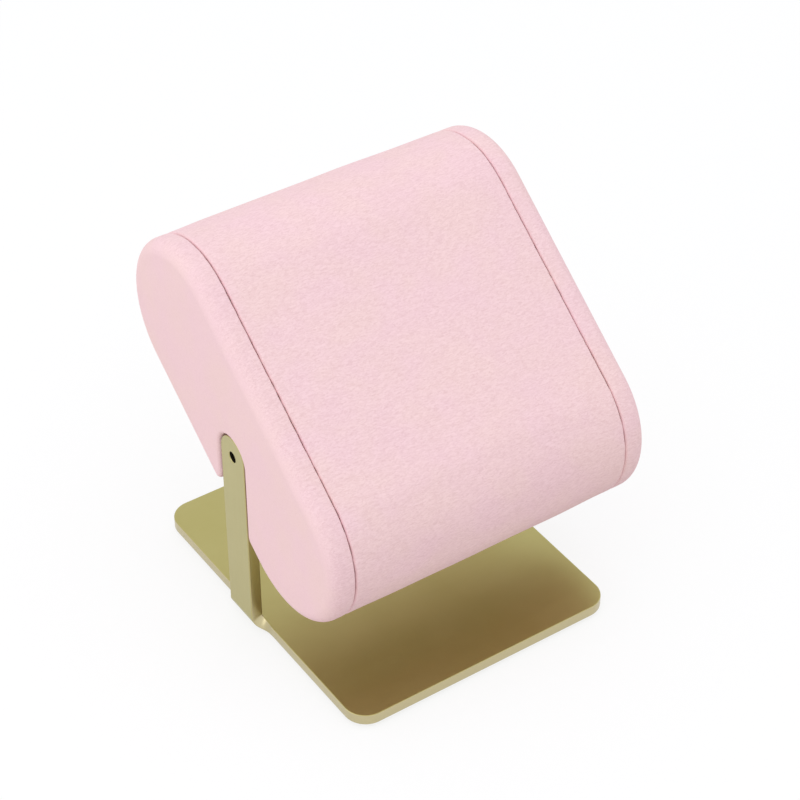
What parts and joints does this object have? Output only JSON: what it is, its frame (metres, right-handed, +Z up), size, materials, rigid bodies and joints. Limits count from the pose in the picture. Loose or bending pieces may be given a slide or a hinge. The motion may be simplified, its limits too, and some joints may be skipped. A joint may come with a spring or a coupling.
{
  "type": "bracelet holder",
  "caption": "Slanted suede pillow that a bracelet or strap goes round, carried by one ear of a folded brass plate stand.",
  "frame": {"origin": "middle of the foam pad's underside, on the surface that the holder stands on", "axes": "+Z up; -Y towards the front, where the pillow's face slopes down to; +X along the pillow, away from the ear"},
  "size_m": [0.0665, 0.0677, 0.0726],
  "materials": {
    "satin_brass": "satin",
    "pink_suede": "matte short-nap suede",
    "pad_foam": "matte",
    "core_foam": "matte foam",
    "fibreboard": "matte",
    "plated_steel": "satin",
    "black_steel": "satin"
  },
  "bodies": {
    "root": {"stand": "satin_brass", "base_pad": "pad_foam", "foam_core": "core_foam", "body_cover": "pink_suede", "left_end_board": "fibreboard", "right_end_board": "fibreboard", "left_end_cover": "pink_suede", "right_end_cover": "pink_suede", "threaded_insert": "plated_steel", "set_screw": "black_steel"}
  },
  "joints": []
}
